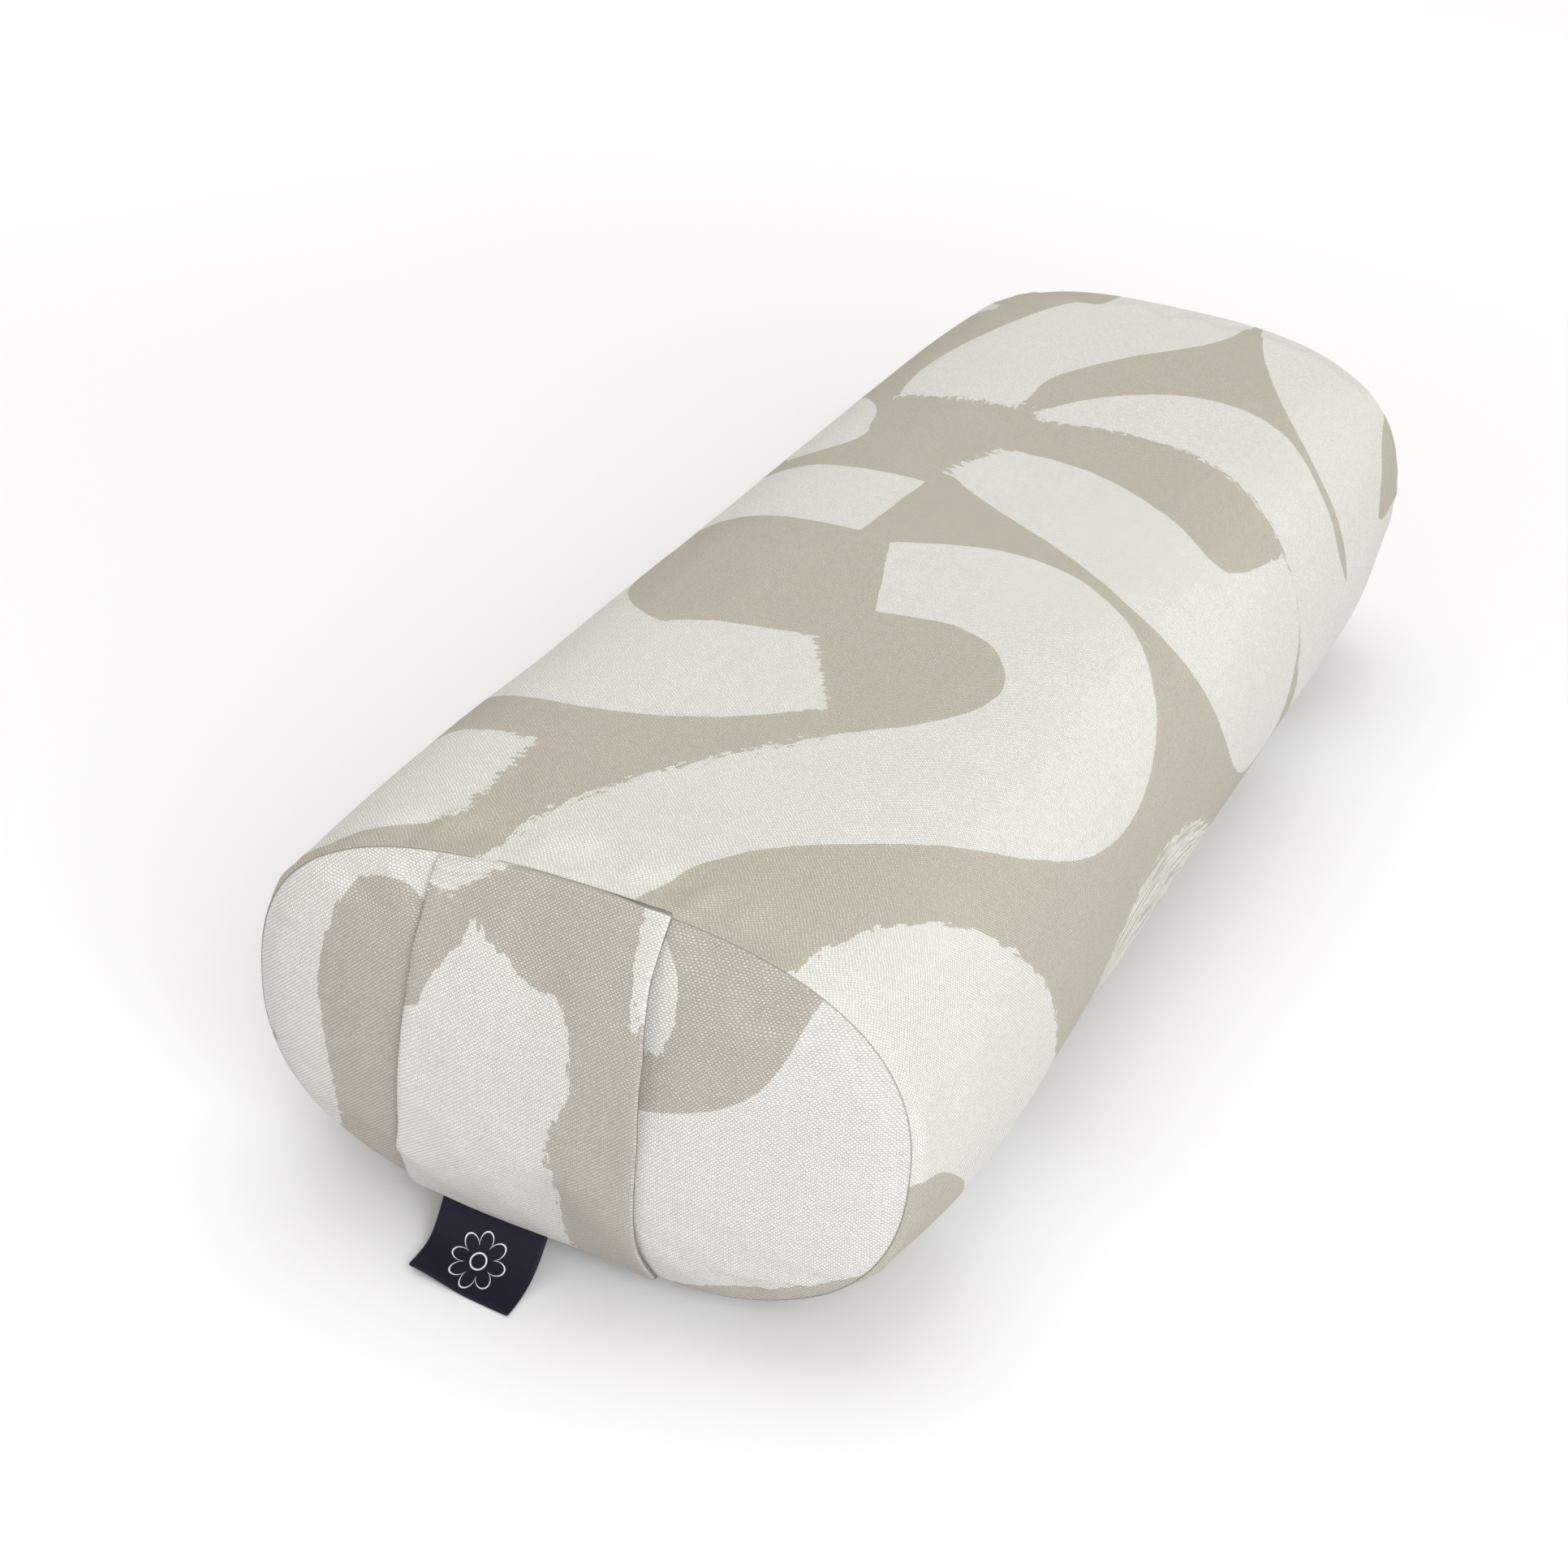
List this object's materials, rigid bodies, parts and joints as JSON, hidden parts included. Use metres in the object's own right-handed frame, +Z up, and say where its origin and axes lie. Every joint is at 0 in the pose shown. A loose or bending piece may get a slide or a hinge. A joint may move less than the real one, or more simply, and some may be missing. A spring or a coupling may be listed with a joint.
{
  "type": "bolster pillow",
  "caption": "Long rounded yoga and massage bolster with a removable canvas cover, a carry band across one end and a side zip.",
  "frame": {"origin": "on the floor under the middle of the body, midway between the two end seams", "axes": "+X to the right seen from the front end, +Y along the length from the front end with the carry handle to the rear end, +Z up"},
  "size_m": [0.2844, 0.7524, 0.1669],
  "materials": {
    "printed_canvas": "heavy cotton canvas, cream brush strokes printed on taupe",
    "foam": "open-cell upholstery foam",
    "wadding": "soft white polyester fibre",
    "lining": "plain unbleached cotton",
    "white_thread": "sewing thread",
    "taupe_thread": "sewing thread",
    "label_satin": "dark navy woven satin",
    "zip_tape": "woven zip tape",
    "zip_coil": "nylon coil",
    "zip_metal": "satin nickel"
  },
  "bodies": {
    "root": {"foam_core": "foam", "fibre_wadding": "wadding", "liner_tube": "lining", "liner_front_end": "lining", "liner_rear_end": "lining", "liner_seam_thread": "white_thread", "cover_wrap": "printed_canvas", "front_end_panel": "printed_canvas", "rear_end_panel": "printed_canvas", "front_seam_thread": "taupe_thread", "rear_seam_thread": "taupe_thread", "zip_tape_upper": "zip_tape", "zip_tape_lower": "zip_tape", "zip_coil_upper": "zip_coil", "zip_coil_lower": "zip_coil", "zip_stitching": "taupe_thread", "zip_top_stop": "zip_metal", "zip_bottom_stop": "zip_metal"},
    "carry_handle": {"carry_handle": "printed_canvas"},
    "woven_label": {"woven_label": "label_satin"},
    "zip_slider": {"zip_slider": "zip_metal"},
    "zip_pull": {"zip_pull": "zip_metal"}
  },
  "joints": [
    {"name": "handle_pull_out", "type": "slide", "parent": "root", "child": "carry_handle", "axis": [0, -1, 0], "range_m": [0, 0.025]},
    {"name": "label_lift", "type": "hinge", "parent": "root", "child": "woven_label", "pos_m": [-0.0275, -0.3459, 0.0067], "axis": [-1, 0, 0], "range_deg": [0, 35]},
    {"name": "zip_travel", "type": "slide", "parent": "root", "child": "zip_slider", "axis": [0, 1, 0], "range_m": [0, 0.468]},
    {"name": "pull_swing", "type": "hinge", "parent": "zip_slider", "child": "zip_pull", "pos_m": [-0.1431, -0.23425, 0.0618], "axis": [-0.0545, 0, 0.9985], "range_deg": [0, 165]}
  ]
}
